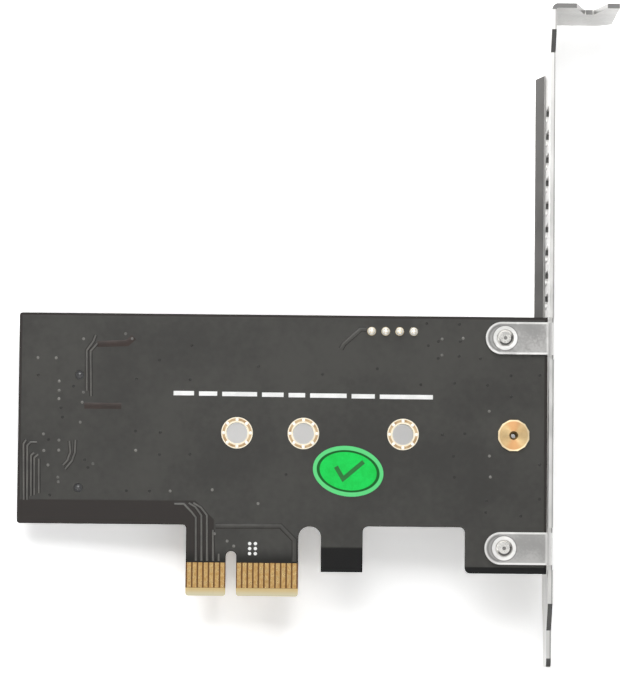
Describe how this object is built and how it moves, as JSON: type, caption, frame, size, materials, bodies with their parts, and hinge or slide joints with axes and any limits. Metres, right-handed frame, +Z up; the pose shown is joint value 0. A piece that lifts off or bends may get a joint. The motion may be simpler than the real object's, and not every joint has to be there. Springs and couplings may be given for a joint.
{
  "type": "nvme adapter card",
  "caption": "Low-profile slot card with a gold contact edge, an M.2 module socket and standoff, and a vented full-height slot bracket.",
  "frame": {"origin": "on the contact edge, at the centre line of its key notch, half way through the board", "axes": "+X along the board to the bracket, +Y from the solder side to the component side, +Z up from the contact edge"},
  "size_m": [0.1081, 0.0216, 0.12],
  "materials": {
    "board_laminate": "satin dark grey solder mask over glass epoxy",
    "contact_gold": "bright gold plate",
    "pad_gold": "gold plate over copper",
    "socket_plastic": "moulded black nylon",
    "lead_tin": "tin-plated copper alloy",
    "standoff_brass": "bright turned brass",
    "header_plastic": "moulded black nylon",
    "header_gold": "flash gold plate",
    "solder": "bright solder",
    "bracket_steel": "bright nickel plate on sheet steel",
    "screw_steel": "bright nickel plate",
    "bulk_resin": "moulded resin",
    "chip_ceramic": "fired ceramic",
    "chip_black": "coated ceramic",
    "lamp_lens": "clear resin",
    "label_green": "printed film",
    "white_ink": "printed ink"
  },
  "bodies": {
    "root": {"circuit_board": "board_laminate", "solder_side_fingers": "contact_gold", "component_side_fingers": "contact_gold", "solder_side_pads": "pad_gold", "component_side_pads": "pad_gold", "m2_socket_housing": "socket_plastic", "m2_rear_leads": "lead_tin", "m2_front_leads": "lead_tin", "m2_solder_tabs": "lead_tin", "module_standoff": "standoff_brass", "header_pins": "header_gold", "header_body": "header_plastic", "header_solder_joints": "solder", "slot_bracket": "bracket_steel", "bracket_screws": "screw_steel", "bulk_capacitors": "bulk_resin", "bulk_capacitor_terminals": "solder", "ceramic_capacitors": "chip_ceramic", "ceramic_capacitor_caps": "solder", "resistors": "chip_black", "resistor_caps": "solder", "activity_lamps": "lamp_lens", "activity_lamp_caps": "solder", "inspection_label": "label_green"}
  },
  "joints": []
}
